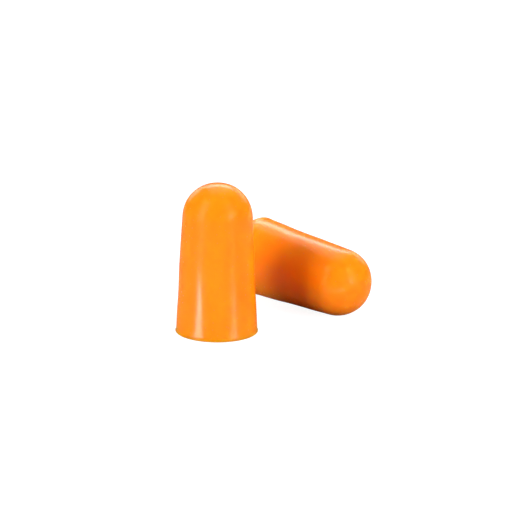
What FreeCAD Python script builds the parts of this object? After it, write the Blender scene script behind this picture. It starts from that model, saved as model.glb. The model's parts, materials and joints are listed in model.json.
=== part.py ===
import FreeCAD
import Part
import math
import os
import sys
import Sketcher

# A pair of uncorded foam ear plugs, in millimetres, +Z up.
#
# Each plug is one piece of moulded slow-recovery foam, a solid of revolution: a flat base with a thin
# moulded lip round its edge, a tapering flank, and a domed tip that goes into the ear.
# One plug stands on its base, centred on the origin. The other lies on its side beside it, touching the
# table with its lip and its dome, with its tip turned back towards the front.

OUTPUT_FOLDER = "parts"

# name, value in millimetres or degrees, what it is
SIZES = [
    ("plug_length", 24.0, "from the flat base to the top of the dome"),
    ("base_diameter", 12.9, "across the foot of the flank, just above the lip"),
    ("tip_radius", 5.55, "radius of the dome, which the flank meets in a tangent"),
    ("lip_width", 0.12, "how far the moulded lip stands out from the foot of the flank"),
    ("lip_height", 0.6, "how far up from the base the lip runs out into the flank"),
    ("lip_rounding", 0.1, "radius of the edge between the base and the lip"),
    ("plug_gap", 7.65, "clear distance in plan between the two plugs' base diameters"),
    ("lying_setback", 10.9, "how far the lying plug's base lies back from the standing plug"),
    ("lying_heading", 43.7, "degrees that the lying tip turns from +X towards -Y"),
]


def make_sheet(doc):
    """The spreadsheet that holds every driving size, one row each: name, value, meaning."""
    sheet = doc.addObject("Spreadsheet::Sheet", "sizes")
    for row, (alias, value, meaning) in enumerate(SIZES, start=1):
        sheet.set(f"A{row}", alias)
        sheet.set(f"B{row}", str(value))
        sheet.set(f"C{row}", meaning)
        sheet.setAlias(f"B{row}", alias)
    doc.recompute()
    return sheet


def origin_plane(body, role):
    """One of the body's own origin planes, found by its role."""
    return next(o for o in body.Origin.OriginFeatures if o.Role == role)


def dimension(sketch, name, expression, *constraint):
    """Adds a driving dimension to the sketch and binds it to the sheet."""
    index = sketch.addConstraint(Sketcher.Constraint(*constraint))
    sketch.renameConstraint(index, name)
    sketch.setExpression("Constraints." + name, expression)


def draw_outline(sketch, sheet):
    """Half of the plug's section: base, rounded lip, lip side, flank, dome, and the axis back down."""
    foot = sheet.base_diameter / 2
    edge = foot + sheet.lip_width - sheet.lip_rounding
    dome_height = sheet.plug_length - sheet.tip_radius

    def line(x1, y1, x2, y2):
        ends = FreeCAD.Vector(x1, y1, 0), FreeCAD.Vector(x2, y2, 0)
        return sketch.addGeometry(Part.LineSegment(*ends))

    def arc(x, y, radius, start, end):
        circle = Part.Circle(FreeCAD.Vector(x, y, 0), FreeCAD.Vector(0, 0, 1), radius)
        return sketch.addGeometry(Part.ArcOfCircle(circle, start, end))

    quarter = math.pi / 2
    base = line(0, 0, edge, 0)
    rounding = arc(edge, sheet.lip_rounding, sheet.lip_rounding, -quarter, 0.1)
    lip_side = line(edge + sheet.lip_rounding, sheet.lip_rounding, foot, sheet.lip_height)
    flank = line(foot, sheet.lip_height, sheet.tip_radius, dome_height)
    dome = arc(0, dome_height, sheet.tip_radius, 0.05, quarter)
    axis = line(0, sheet.plug_length, 0, 0)

    start, end, centre = 1, 2, 3
    origin, vertical_axis = (-1, start), -2
    for rule in (
        ("Coincident", base, start, *origin),
        ("Coincident", axis, end, *origin),
        ("Horizontal", base),
        ("Vertical", axis),
        ("Tangent", base, end, rounding, start),
        ("Tangent", rounding, end, lip_side, start),
        ("Coincident", lip_side, end, flank, start),
        ("Tangent", flank, end, dome, start),
        ("Coincident", dome, end, axis, start),
        ("PointOnObject", dome, centre, vertical_axis),
    ):
        sketch.addConstraint(Sketcher.Constraint(*rule))

    dimension(sketch, "foot_radius", "sizes.base_diameter / 2",
              "DistanceX", *origin, flank, start, foot)
    dimension(sketch, "lip_top", "sizes.lip_height",
              "DistanceY", *origin, flank, start, sheet.lip_height)
    dimension(sketch, "lip_edge", "sizes.base_diameter / 2 + sizes.lip_width - sizes.lip_rounding",
              "DistanceX", *origin, rounding, centre, edge)
    dimension(sketch, "lip_radius", "sizes.lip_rounding",
              "Radius", rounding, sheet.lip_rounding)
    dimension(sketch, "dome_radius", "sizes.tip_radius",
              "Radius", dome, sheet.tip_radius)
    dimension(sketch, "whole_length", "sizes.plug_length",
              "DistanceY", *origin, dome, end, sheet.plug_length)


def make_plug(doc, sheet, label):
    """One moulded plug, turned about its own axis, with its base at its own origin and its tip up."""
    body = doc.addObject("PartDesign::Body", label)
    body.Label = label
    sketch = body.newObject("Sketcher::SketchObject", label + "_outline")
    sketch.AttachmentSupport = [(origin_plane(body, "XZ_Plane"), "")]
    sketch.MapMode = "FlatFace"
    draw_outline(sketch, sheet)
    doc.recompute()
    moulding = body.newObject("PartDesign::Revolution", label + "_moulding")
    moulding.Profile = sketch
    moulding.ReferenceAxis = (sketch, ["V_Axis"])
    moulding.Angle = 360
    doc.recompute()
    return body


def lay_down(body):
    """Lays a plug on its side on the table, where the lip's rounded edge and the dome both touch it.

    The lip's edge and the dome are two circles in the plug's section. The line that touches both on the
    same side is the table, and its angle to the plug's axis is the pitch. Lengths are in millimetres and
    angles in degrees, as plain numbers.
    """
    for name, expression in (
        ("EdgeReach", "sizes.base_diameter / 2 + sizes.lip_width - sizes.lip_rounding"),
        ("DomeReach", "sizes.plug_length - sizes.tip_radius - sizes.lip_rounding"),
        ("CentreDistance", "sqrt(pow(EdgeReach; 2) + pow(DomeReach; 2))"),
        ("RadiusStep", "sizes.tip_radius - sizes.lip_rounding"),
        ("Pitch", "atan(EdgeReach / DomeReach) - asin(RadiusStep / CentreDistance)"),
        ("BaseHeight", "sizes.lip_rounding * (1 + sin(Pitch)) + EdgeReach * cos(Pitch)"),
        ("SideOffset", "sizes.base_diameter + sizes.plug_gap"),
        ("BaseX", "sin(sizes.lying_heading) * SideOffset - cos(sizes.lying_heading) * sizes.lying_setback"),
        ("BaseY", "cos(sizes.lying_heading) * SideOffset + sin(sizes.lying_heading) * sizes.lying_setback"),
    ):
        body.addProperty("App::PropertyFloat", name, "Resting place")
        body.setExpression(name, expression)
    body.setExpression(
        "Placement",
        "placement(vector(BaseX; BaseY; BaseHeight);"
        " rotation(vector(0; 0; 1); -sizes.lying_heading) * rotation(vector(0; 1; 0); 90 + Pitch))",
    )


def check(doc, plugs):
    """Stops the build if anything failed to compute or a plug isn't one sound solid."""
    for item in doc.Objects:
        if "Invalid" in item.State or "Error" in item.State:
            sys.exit(f"{item.Name} failed: {item.State}")
    for plug in plugs:
        shape = plug.Shape
        if shape.isNull() or not shape.isValid() or len(shape.Solids) != 1:
            sys.exit(f"{plug.Label} is not one valid solid")


def export(plugs):
    """Writes each plug to its own STEP file and prints its volume and place."""
    os.makedirs(OUTPUT_FOLDER, exist_ok=True)
    for plug in plugs:
        plug.Shape.exportStep(os.path.join(OUTPUT_FOLDER, plug.Label + ".step"))
        box = plug.Shape.optimalBoundingBox()
        print(f"{plug.Label}: {plug.Shape.Volume:.1f} mm3, "
              f"x {box.XMin:.2f} to {box.XMax:.2f}, "
              f"y {box.YMin:.2f} to {box.YMax:.2f}, "
              f"z {box.ZMin:.3f} to {box.ZMax:.2f}")


def main():
    doc = FreeCAD.newDocument("ear_plugs")
    sheet = make_sheet(doc)
    standing = make_plug(doc, sheet, "standing_plug")
    lying = make_plug(doc, sheet, "lying_plug")
    lay_down(lying)
    doc.recompute()
    check(doc, [standing, lying])
    export([standing, lying])


main()
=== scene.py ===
import json
import math

import bpy
import numpy as np
from mathutils import Matrix, Vector


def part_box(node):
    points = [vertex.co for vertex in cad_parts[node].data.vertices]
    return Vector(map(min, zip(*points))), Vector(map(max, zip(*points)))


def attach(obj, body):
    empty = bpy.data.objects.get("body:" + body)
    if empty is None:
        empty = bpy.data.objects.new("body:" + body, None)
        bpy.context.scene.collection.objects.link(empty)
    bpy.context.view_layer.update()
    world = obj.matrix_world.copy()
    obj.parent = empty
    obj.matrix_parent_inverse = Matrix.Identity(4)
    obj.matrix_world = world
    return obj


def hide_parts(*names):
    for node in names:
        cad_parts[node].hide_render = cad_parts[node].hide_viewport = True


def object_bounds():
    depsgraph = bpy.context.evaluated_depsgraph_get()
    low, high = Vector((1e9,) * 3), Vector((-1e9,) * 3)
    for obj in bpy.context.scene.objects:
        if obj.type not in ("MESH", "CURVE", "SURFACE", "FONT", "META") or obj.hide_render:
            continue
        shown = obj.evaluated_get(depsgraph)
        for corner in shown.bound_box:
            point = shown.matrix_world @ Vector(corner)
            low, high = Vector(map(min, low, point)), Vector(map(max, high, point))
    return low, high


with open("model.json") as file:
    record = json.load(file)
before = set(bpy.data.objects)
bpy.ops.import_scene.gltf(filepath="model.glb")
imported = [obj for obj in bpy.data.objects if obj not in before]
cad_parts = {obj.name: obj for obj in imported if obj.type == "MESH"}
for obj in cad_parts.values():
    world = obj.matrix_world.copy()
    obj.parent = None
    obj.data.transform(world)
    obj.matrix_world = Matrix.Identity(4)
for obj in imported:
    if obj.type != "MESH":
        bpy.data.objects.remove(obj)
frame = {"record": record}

# A pair of uncorded foam ear plugs, one standing on its base and one lying on its side.
#
# Each plug is one revolved grid of points: a base face with a soft lip round it, a tapering flank and a
# domed tip. Its length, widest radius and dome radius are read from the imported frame. The surface is then
# made uneven, as moulded foam is: slightly out of round, gently wavy, dished underneath and pitted.

MM = 0.001
CAD_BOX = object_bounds()
MOUNTS = {mount["name"]: mount for mount in frame["record"]["mounts"]}

# Each plug's name, which its node and its body share, and the seed of its unevenness.
PLUGS = (
    ("standing_plug", 11),
    ("lying_plug", 29),
)

# The moulding, in millimetres. The rest of its outline comes from the frame.
LIP_WIDTH = 0.12
LIP_HEIGHT = 0.6
LIP_ROUNDING = 0.1

# The grid. Round the plug its spacing is about a tenth of a millimetre. The flank's stations crowd
# towards its foot, where the lip is.
SEGMENTS = 360
BASE_RINGS = 62
ROUNDING_RINGS = 7
FLANK_RINGS = 110
DOME_RINGS = 64
FLANK_CROWDING = 1.35

# How moulded foam strays from its mould, in millimetres.
WAVE_COUNT = 26
WAVE_LENGTHS = (3.5, 13.0)
WAVE_HEIGHT = 0.0034
OVAL = 0.035
BOW = 0.05
DISH_DEPTH = 0.22
RIM_LAND = 0.75
SEAT_HEIGHT = 0.4

# Pits in the skin, which start at a share of the plug's length, and open cells in the base face.
PIT_COUNT = 70
PIT_START = 0.06
PIT_RADII = (0.22, 0.5)
PIT_DEPTHS = (0.006, 0.03)
CELL_COUNT = 900
CELL_RADII = (0.16, 0.42)
CELL_DEPTHS = (0.02, 0.1)

# A plug whose axis rises more steeply than this, as a share of its length, counts as upright.
UPRIGHT = 0.9


# ---------------------------------------------------------------- the moulded shape

def outline(length, rim, tip_radius):
    """Half the section of a plug, as stations from the middle of its base up to the top of its dome.

    Returns radius, height and the outward normal at each station, and a base share that is 1 on the base
    face and 0 elsewhere. The base is a straight run. The edge is a quarter circle. The flank is the
    straight line from the foot that meets the dome's circle in a tangent, and below the lip's height it
    flares by the lip's width times the square of the share of the lip that is left. The dome is a circle
    about the axis. The normal is the step along the outline, turned a quarter turn outwards.
    """
    foot = rim - LIP_WIDTH
    dome_height = length - tip_radius
    reach = math.hypot(foot, dome_height - LIP_HEIGHT)
    tangent = math.acos(tip_radius / reach) - math.atan2(dome_height - LIP_HEIGHT, foot)
    shoulder_radius = tip_radius * math.cos(tangent)
    shoulder_height = dome_height + tip_radius * math.sin(tangent)
    slope = (shoulder_radius - foot) / (shoulder_height - LIP_HEIGHT)

    base_radius = np.linspace(0, rim - LIP_ROUNDING, BASE_RINGS, endpoint=False)
    base = np.column_stack([base_radius, np.zeros(BASE_RINGS)])

    turn = np.linspace(-math.pi / 2, 0, ROUNDING_RINGS, endpoint=False)
    edge = np.column_stack([rim - LIP_ROUNDING + LIP_ROUNDING * np.cos(turn),
                            LIP_ROUNDING + LIP_ROUNDING * np.sin(turn)])

    run = np.linspace(0, 1, FLANK_RINGS, endpoint=False) ** FLANK_CROWDING
    height = LIP_ROUNDING + (shoulder_height - LIP_ROUNDING) * run
    left = np.clip((LIP_HEIGHT - height) / (LIP_HEIGHT - LIP_ROUNDING), 0, 1)
    straight = foot + slope * (height - LIP_HEIGHT)
    flank = np.column_stack([straight + LIP_WIDTH * left ** 2, height])

    turn = np.linspace(tangent, math.pi / 2, DOME_RINGS)
    dome = np.column_stack([tip_radius * np.cos(turn), dome_height + tip_radius * np.sin(turn)])
    dome[-1, 0] = 0

    stations = np.concatenate([base, edge, flank, dome])
    along = np.gradient(stations, axis=0)
    normal = np.column_stack([along[:, 1], -along[:, 0]])
    normal /= np.linalg.norm(normal, axis=1, keepdims=True)
    normal[0] = (0, -1)
    normal[-1] = (0, 1)
    base_share = np.zeros(len(stations))
    base_share[:BASE_RINGS] = 1
    return stations[:, 0], stations[:, 1], normal, base_share


def waves(points, random):
    """Gentle unevenness: a sum of plane waves of random direction, each as high as its length allows.

    Each wave is a cosine of the distance along its direction, so the sum runs on across the poles.
    """
    total = np.zeros(len(points))
    for length in random.uniform(*WAVE_LENGTHS, WAVE_COUNT):
        direction = random.normal(size=3)
        direction /= np.linalg.norm(direction)
        phase = random.uniform(0, 2 * math.pi)
        height = WAVE_HEIGHT * length / WAVE_LENGTHS[0]
        total += height * np.cos(2 * math.pi / length * points @ direction + phase)
    return total


def pits(points, centres, radii, depths):
    """Round-bottomed pits: each takes away depth times (1 - (distance / radius)^2)^2 inside its radius."""
    total = np.zeros(len(points))
    for centre, radius, depth in zip(centres, radii, depths):
        share = np.clip(1 - ((points - centre) ** 2).sum(1) / radius ** 2, 0, 1)
        total += depth * share ** 2
    return total


def moulded_points(length, rim, tip_radius, seed):
    """The plug's surface as a grid of points, one row a station, in millimetres with its axis along Z.

    Each point is its station turned about the axis, and then moved along the outline's normal.
    Off the base face it moves by the waves, by an oval, which is the cosine of twice the turn, and by a
    bow, which is the cosine of the turn times a parabola of the height. These fade in from the table up.
    On the base face it moves inwards by a dish, a smooth step of the distance inside the rim's land.
    Pits are then taken from the skin, and open cells from the base face, more of them near its edge.
    Returns the points and each point's base share.
    """
    random = np.random.default_rng(seed)
    radius, height, normal, base_share = outline(length, rim, tip_radius)
    turn = np.linspace(0, 2 * math.pi, SEGMENTS, endpoint=False)
    around = np.column_stack([np.cos(turn), np.sin(turn)])

    def swept(radial, axial):
        """Every station's radial and axial lengths carried round the axis."""
        ring = radial[:, None, None] * around[None, :, :]
        rise = np.broadcast_to(axial[:, None, None], ring.shape[:2] + (1,))
        return np.concatenate([ring, rise], axis=2).reshape(-1, 3)

    points = swept(radius, height)
    outward = swept(normal[:, 0], normal[:, 1])
    share = np.repeat(base_share, SEGMENTS)
    spin = np.tile(turn, len(radius))
    reach = np.repeat(radius, SEGMENTS)
    level = np.repeat(height, SEGMENTS) / length
    face_radius = rim - RIM_LAND

    lean = random.uniform(0, 2 * math.pi, 2)
    uneven = waves(points, random)
    uneven += OVAL * np.cos(2 * spin + lean[0]) * reach / rim
    uneven += BOW * np.cos(spin + lean[1]) * (level * (1 - level) * 4 - 0.5) * reach / rim

    inside = np.clip((face_radius - reach) / RIM_LAND, 0, 1)
    dish = DISH_DEPTH * inside ** 2 * (3 - 2 * inside)
    seat = np.clip(level * length / SEAT_HEIGHT, 0, 1)
    push = np.where(share > 0, -dish, uneven * seat)

    skin = np.flatnonzero((share == 0) & (level > PIT_START))
    spots = points[random.choice(skin, PIT_COUNT, replace=False)]
    radii = random.uniform(*PIT_RADII, PIT_COUNT)
    push -= pits(points, spots, radii, random.uniform(*PIT_DEPTHS, PIT_COUNT))

    face = np.flatnonzero((share > 0) & (reach < face_radius))
    spots = points[random.choice(face, CELL_COUNT, replace=False)]
    keep = random.uniform(0, 1, CELL_COUNT) < np.hypot(spots[:, 0], spots[:, 1]) / face_radius
    spots = spots[keep]
    radii = random.uniform(*CELL_RADII, len(spots))
    cells = pits(points, spots, radii, random.uniform(*CELL_DEPTHS, len(spots)))
    push -= np.where(share > 0, cells, 0)
    return points + outward * push[:, None], share


def closed_grid(rows, around):
    """Faces of a grid whose first and last rows are each one point: a fan, then bands of quads, then a fan.

    Quad (i, j) joins row i and row i + 1 between segments j and j + 1, and the last segment joins the first.
    """
    step = np.arange(around)
    after = (step + 1) % around
    first = np.column_stack([np.zeros(around, int), 1 + after, 1 + step])
    start = 1 + np.arange(rows - 3)[:, None] * around
    quads = np.stack([start + step, start + after, start + around + after, start + around + step], axis=-1)
    last_row = 1 + (rows - 3) * around
    top = 1 + (rows - 2) * around
    last = np.column_stack([last_row + step, last_row + after, np.full(around, top)])
    return first.tolist() + quads.reshape(-1, 4).tolist() + last.tolist()


def make_plug(node, body, seed, material):
    """One foam plug in place of its CAD node: the moulded surface, laid along the node's own axis.

    A point x, y, z of the surface goes to the middle of the base, plus z along the axis, plus x and y
    along two directions square to it. The poles' rows are each cut down to one point.
    """
    base = Vector(MOUNTS[body.replace("plug", "base")]["pos_m"])
    tip = MOUNTS[body.replace("plug", "tip")]
    axis = Vector(tip["axis"])
    low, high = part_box("standing_plug")
    length = (Vector(tip["pos_m"]) - base).length / MM
    rim = (high.x - low.x) / 2 / MM
    points, share = moulded_points(length, rim, tip["dims"]["r_mm"], seed)

    rows = len(points) // SEGMENTS
    points = np.concatenate([points[:1], points[SEGMENTS:-SEGMENTS], points[-1:]])
    share = np.concatenate([share[:1], share[SEGMENTS:-SEGMENTS], share[-1:]])
    side = Vector((0, 0, 1)).cross(axis) if abs(axis.z) < UPRIGHT else Vector((0, 1, 0))
    side.normalize()
    turn = np.array(Matrix((side.cross(axis), side, axis)))
    mesh = bpy.data.meshes.new(node + "_foam")
    mesh.from_pydata((np.array(base) + points @ turn * MM).tolist(), [], closed_grid(rows, SEGMENTS))
    mesh.polygons.foreach_set("use_smooth", np.ones(len(mesh.polygons), bool))
    mesh.attributes.new("base_face", "FLOAT", "POINT").data.foreach_set("value", share.astype(np.float32))
    mesh.materials.append(material)
    mesh.update()

    piece = bpy.data.objects.new(node + "_foam", mesh)
    bpy.context.scene.collection.objects.link(piece)
    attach(piece, body)
    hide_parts(node)


# ---------------------------------------------------------------- materials

# The Mix node's sockets for two colours: the share, the first, the second, and the blended colour.
MIX_SHARE, MIX_FIRST, MIX_SECOND, MIX_RESULT = 0, 6, 7, 2


class Signal:
    """A node's output, which changes over a surface. The operators + - * add Math nodes."""

    def __init__(self, shader, socket):
        self.shader = shader
        self.socket = socket

    def math(self, operation, first, second):
        return self.shader.node("ShaderNodeMath", {"operation": operation}, {0: first, 1: second})

    def __add__(self, other):
        return self.math("ADD", self, other)

    def __sub__(self, other):
        return self.math("SUBTRACT", self, other)

    def __rsub__(self, other):
        return self.math("SUBTRACT", other, self)

    def __mul__(self, other):
        return self.math("MULTIPLY", self, other)

    __radd__ = __add__
    __rmul__ = __mul__


class Shader:
    """A node tree being written. Its node method makes every node."""

    def __init__(self, tree):
        self.tree = tree
        tree.nodes.clear()

    def node(self, kind, settings=None, values=None, output=0):
        """Adds a node of that kind. Settings are set first, then each input's value or link."""
        made = self.tree.nodes.new(kind)
        for name, value in (settings or {}).items():
            setattr(made, name, value)
        for key, value in (values or {}).items():
            socket = made.inputs[key]
            if isinstance(value, Signal):
                self.tree.links.new(value.socket, socket)
            else:
                socket.default_value = value
        return Signal(self, made.outputs[output]) if len(made.outputs) else None

    def ramp(self, signal, low, high):
        """0 where the signal is at or under low, 1 where it is at or over high, with an S curve between."""
        return self.node("ShaderNodeMapRange", {"interpolation_type": "SMOOTHSTEP"},
                         {"Value": signal, "From Min": low, "From Max": high})

    def blend(self, share, first, second):
        """A colour that goes from first to second as share goes from 0 to 1."""
        return self.node("ShaderNodeMix", {"data_type": "RGBA"},
                         {MIX_SHARE: share, MIX_FIRST: first, MIX_SECOND: second}, output=MIX_RESULT)

    def noise(self, place, size, detail, roughness=0.5):
        """Cloudy noise whose largest features are about that size in millimetres."""
        return self.node("ShaderNodeTexNoise", None, {
            "Vector": place,
            "Scale": 1 / (size * MM),
            "Detail": detail,
            "Roughness": roughness,
        })

    def cells(self, place, spacing):
        """Distance to the nearest of scattered cell centres that are about that far apart in millimetres."""
        return self.node("ShaderNodeTexVoronoi", None,
                         {"Vector": place, "Scale": 1 / (spacing * MM)}, output="Distance")


FOAM_ORANGE = (0.93, 0.238, 0.0036, 1.0)
FOAM_DEEP = (0.92, 0.226, 0.0030, 1.0)
FOAM_PALE = (0.95, 0.262, 0.0060, 1.0)
# Painted shade for the hollows of the skin's pores and the base face's open cells.
PORE_SHADE = (0.62, 0.092, 0.003, 1.0)
CUT_FOAM = (0.93, 0.262, 0.024, 1.0)

# The foam's markings: their size or spacing in millimetres, and where each one starts and is full.
CLOUD_SIZE = 5.0
CLOUD_RANGE = (0.3, 0.7)
GRAIN_SIZE = 0.42
GRAIN_RANGE = (0.52, 0.78)
FINE_SIZE = 0.13
PORE_SPACING = 0.95
PORE_EDGE = (0.07, 0.16)
OPEN_SPACING = 0.34
OPEN_EDGE = (0.12, 0.42)

# How strongly each marking colours the foam. The pores' and open cells' shares are painted shade, darkening
# their hollows.
PALE_SHARE = 0.45
CUT_SHARE = 0.6
PORE_SHADE_SHARE = 0.35
OPEN_CELL_SHADE_SHARE = 0.55

# The skin's roughness, and what each marking adds to it.
SKIN_ROUGHNESS = 0.19
CLOUD_ROUGHNESS = 0.06
GRAIN_ROUGHNESS = 0.04
BASE_ROUGHNESS = 0.40
PORE_ROUGHNESS = 0.12

# How far each marking rises or sinks, as a share of the bump's distance, which is in millimetres.
GRAIN_RISE = 0.35
BASE_GRAIN_RISE = 0.6
FINE_RISE = 0.18
PORE_SINK = 0.9
OPEN_SINK = 1.6
BUMP_STRENGTH = 0.55
BUMP_DISTANCE = 0.026

# Light carried inside the foam. Red goes furthest, by the reach in millimetres.
SCATTER_WEIGHT = 0.7
SCATTER_SHARES = (1.0, 0.15, 0.04)
SCATTER_REACH = 3.9


def moulded_foam():
    """Slow-recovery foam: a satin moulded skin with fine grain and pores, and an open, duller base face."""
    material = bpy.data.materials.new("moulded_orange_foam")
    material.use_nodes = True
    shader = Shader(material.node_tree)
    place = shader.node("ShaderNodeTexCoord", output="Object")
    base = shader.node("ShaderNodeAttribute", {"attribute_name": "base_face"}, output="Fac")

    clouds = shader.noise(place, CLOUD_SIZE, detail=3.0)
    grain = shader.noise(place, GRAIN_SIZE, detail=3.0, roughness=0.6)
    fine = shader.noise(place, FINE_SIZE, detail=2.0)
    pores = 1 - shader.ramp(shader.cells(place, PORE_SPACING), *PORE_EDGE)
    skin_pores = pores * (1 - base)
    open_cells = (1 - shader.ramp(shader.cells(place, OPEN_SPACING), *OPEN_EDGE)) * base

    colour = shader.blend(shader.ramp(clouds, *CLOUD_RANGE), FOAM_DEEP, FOAM_ORANGE)
    colour = shader.blend(shader.ramp(grain, *GRAIN_RANGE) * PALE_SHARE, colour, FOAM_PALE)
    colour = shader.blend(base * CUT_SHARE, colour, CUT_FOAM)
    # Painted shade: pores and open cells are darkened as if their hollows lay in shadow.
    colour = shader.blend(skin_pores * PORE_SHADE_SHARE + open_cells * OPEN_CELL_SHADE_SHARE, colour, PORE_SHADE)

    roughness = (SKIN_ROUGHNESS + clouds * CLOUD_ROUGHNESS + grain * GRAIN_ROUGHNESS
                 + base * BASE_ROUGHNESS + pores * PORE_ROUGHNESS)
    height = (grain * (GRAIN_RISE + base * BASE_GRAIN_RISE) + fine * FINE_RISE
              - skin_pores * PORE_SINK - open_cells * OPEN_SINK)
    bump = shader.node("ShaderNodeBump", None,
                       {"Strength": BUMP_STRENGTH, "Distance": BUMP_DISTANCE * MM, "Height": height})
    skin = shader.node("ShaderNodeBsdfPrincipled", {"subsurface_method": "RANDOM_WALK"}, {
        "Base Color": colour,
        "Roughness": roughness,
        "Normal": bump,
        "IOR": 1.45,
        "Specular IOR Level": 0.4,
        "Subsurface Weight": SCATTER_WEIGHT,
        "Subsurface Radius": SCATTER_SHARES,
        "Subsurface Scale": SCATTER_REACH * MM,
    })
    shader.node("ShaderNodeOutputMaterial", None, {"Surface": skin})
    return material


# ---------------------------------------------------------------- the studio

# The camera's place is in millimetres, as its lens and its sensor are. Its near and far limits are in metres.
CAMERA_PLACE = (5.573, -276.53, 85.76)
CAMERA_TILT = math.radians(14.765)
CAMERA_ROLL = math.radians(0.665)
CAMERA_LENS = 129.3
CAMERA_SENSOR = 36
CAMERA_LIMITS = (0.01, 20)
WHITE = (1.0, 1.0, 1.0, 1.0)

# The floor and the sky look white from the camera, but throw little light on the foam.
FLOOR_HALF = 6.0
FLOOR_GREY = 0.22
FLOOR_GLOW = 0.93
SKY_LIGHT = 0.06
SKY_SEEN = 1.0

# Soft boxes. Azimuth 0 is the camera's side, 90 the right, 180 the back.
# Each is seen by the foam's matt colour, by its gloss, or by both.
BOX_DISTANCE = 0.5
SOFT_BOXES = (
    # name, azimuth, elevation, width, height, radiance, seen by
    ("left_key", -52, 18, 0.24, 0.34, 12.3, "colour"),
    ("right_key", 53, 9, 0.16, 0.18, 27.0, "colour"),
    ("right_side", 74, 9, 0.20, 0.18, 1.2, "colour"),
    ("right_back", 140, 34, 0.30, 0.20, 9.0, "colour"),
    ("front_fill", 20, 10, 0.20, 0.15, 1.2, "colour"),
    ("overhead", 0, 88, 0.30, 0.30, 3.2, "colour"),
    ("left_sheen", -58, 30, 0.20, 0.45, 1.4, "gloss"),
    ("left_low_sheen", -58, 2, 0.24, 0.10, 2.0, "gloss"),
    ("right_sheen", 50, 30, 0.20, 0.45, 0.8, "gloss"),
    ("right_spark", 42, 12, 0.10, 0.10, 6.0, "gloss"),
    ("back_low", 180, 36, 0.32, 0.11, 5.6, "both"),
    ("back_middle", 180, 52, 0.32, 0.14, 1.0, "both"),
    ("back_high", 180, 70, 0.32, 0.14, 1.4, "both"),
    ("back_left", -150, 20, 0.25, 0.20, 1.5, "both"),
    ("back_right", 150, 20, 0.25, 0.20, 1.2, "both"),
)

# Gloss cards just over the floor in front of the standing plug, which draw the streaks up its flank.
# They start at a radius in millimetres and an angle from the front, and run off at the heading.
CARD_HEIGHT = 0.4
CARD_START = (6.5, 26)
CARD_HEADING = 52
FLOOR_CARDS = (
    # name, side, near end, far end and width in millimetres, radiance
    ("left_card_near", -1, 0.5, 8.0, 2.6, 9.0),
    ("left_card_middle", -1, 8.0, 20.0, 4.2, 12.0),
    ("left_card_far", -1, 20.0, 50.0, 5.5, 17.5),
    ("right_card_near", 1, 0.5, 8.0, 2.4, 4.0),
    ("right_card_middle", 1, 8.0, 20.0, 4.0, 2.6),
    ("right_card_far", 1, 20.0, 50.0, 5.5, 4.6),
)


def make_camera():
    """A long lens that looks down a little on the pair, turned by under a degree about its own axis."""
    data = bpy.data.cameras.new("studio_camera")
    data.lens = CAMERA_LENS
    data.sensor_width = CAMERA_SENSOR
    data.clip_start, data.clip_end = CAMERA_LIMITS
    camera = bpy.data.objects.new("studio_camera", data)
    bpy.context.scene.collection.objects.link(camera)
    turn = Matrix.Rotation(math.pi / 2 - CAMERA_TILT, 4, "X") @ Matrix.Rotation(CAMERA_ROLL, 4, "Z")
    camera.matrix_world = Matrix.Translation(Vector(CAMERA_PLACE) * MM) @ turn
    bpy.context.scene.camera = camera


def make_floor():
    """A plain white floor: it glows towards the camera, so only a faint shadow shows under each plug."""
    half = FLOOR_HALF
    corners = [(-half, -half, 0), (half, -half, 0), (half, half, 0), (-half, half, 0)]
    mesh = bpy.data.meshes.new("floor")
    mesh.from_pydata(corners, [], [(0, 1, 2, 3)])
    material = bpy.data.materials.new("white_floor")
    material.use_nodes = True
    shader = Shader(material.node_tree)
    seen = shader.node("ShaderNodeLightPath", output="Is Camera Ray")
    paper = shader.node("ShaderNodeBsdfDiffuse", None, {"Color": (FLOOR_GREY, FLOOR_GREY, FLOOR_GREY, 1)})
    glow = shader.node("ShaderNodeEmission", None, {"Color": WHITE, "Strength": seen * FLOOR_GLOW})
    surface = shader.node("ShaderNodeAddShader", None, {0: paper, 1: glow})
    shader.node("ShaderNodeOutputMaterial", None, {"Surface": surface})
    mesh.materials.append(material)
    floor = bpy.data.objects.new("floor", mesh)
    bpy.context.scene.collection.objects.link(floor)


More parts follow.
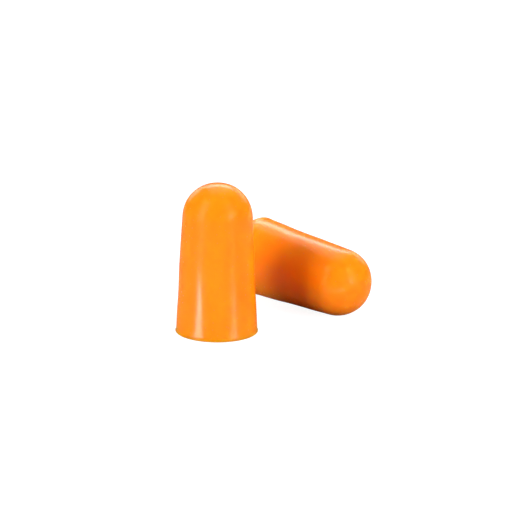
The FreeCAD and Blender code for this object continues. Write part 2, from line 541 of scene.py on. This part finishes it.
def make_world():
    """A white backdrop all round, which gives the pair only a little even light."""
    world = bpy.data.worlds.new("studio")
    world.use_nodes = True
    bpy.context.scene.world = world
    shader = Shader(world.node_tree)
    seen = shader.node("ShaderNodeLightPath", output="Is Camera Ray")
    strength = seen * (SKY_SEEN - SKY_LIGHT) + SKY_LIGHT
    sky = shader.node("ShaderNodeBackground", None, {"Color": WHITE, "Strength": strength})
    shader.node("ShaderNodeOutputWorld", None, {"Surface": sky})


def area_light(name, width, height, radiance, seen_by, place):
    """A rectangular light of that size and radiance, which shines along its own -Z."""
    data = bpy.data.lights.new(name, "AREA")
    data.shape = "RECTANGLE"
    data.size = width
    data.size_y = height
    data.energy = radiance * math.pi * width * height
    light = bpy.data.objects.new(name, data)
    bpy.context.scene.collection.objects.link(light)
    light.matrix_world = place
    light.visible_camera = False
    light.visible_glossy = seen_by != "colour"
    light.visible_diffuse = seen_by != "gloss"


def make_lights():
    """The soft boxes, each facing the middle of the pair, and the gloss cards, which face up."""
    low, high = CAD_BOX
    middle = (low + high) / 2
    for name, azimuth, elevation, width, height, radiance, seen_by in SOFT_BOXES:
        turn, rise = math.radians(azimuth), math.radians(elevation)
        back = Vector((math.sin(turn) * math.cos(rise), -math.cos(turn) * math.cos(rise), math.sin(rise)))
        facing = back.to_track_quat("Z", "Y").to_matrix().to_4x4()
        place = Matrix.Translation(middle + back * BOX_DISTANCE) @ facing
        area_light(name, width, height, radiance, seen_by, place)

    foot, bearing = CARD_START
    down = Vector((0, 0, -1))
    for name, side, near, far, width, radiance in FLOOR_CARDS:
        start, heading = math.radians(bearing * side), math.radians(CARD_HEADING * side)
        along = Vector((math.sin(heading), -math.cos(heading), 0))
        centre = Vector((math.sin(start), -math.cos(start), 0)) * foot + along * (near + far) / 2
        centre.z = CARD_HEIGHT
        facing = Matrix((along, down.cross(along), down)).transposed().to_4x4()
        place = Matrix.Translation(centre * MM) @ facing
        area_light(name, (far - near) * MM, width * MM, radiance, "gloss", place)


def main():
    foam = moulded_foam()
    for name, seed in PLUGS:
        make_plug(name, name, seed, foam)
    make_camera()
    make_floor()
    make_world()
    make_lights()
    bpy.context.scene.view_settings.view_transform = "Standard"


main()
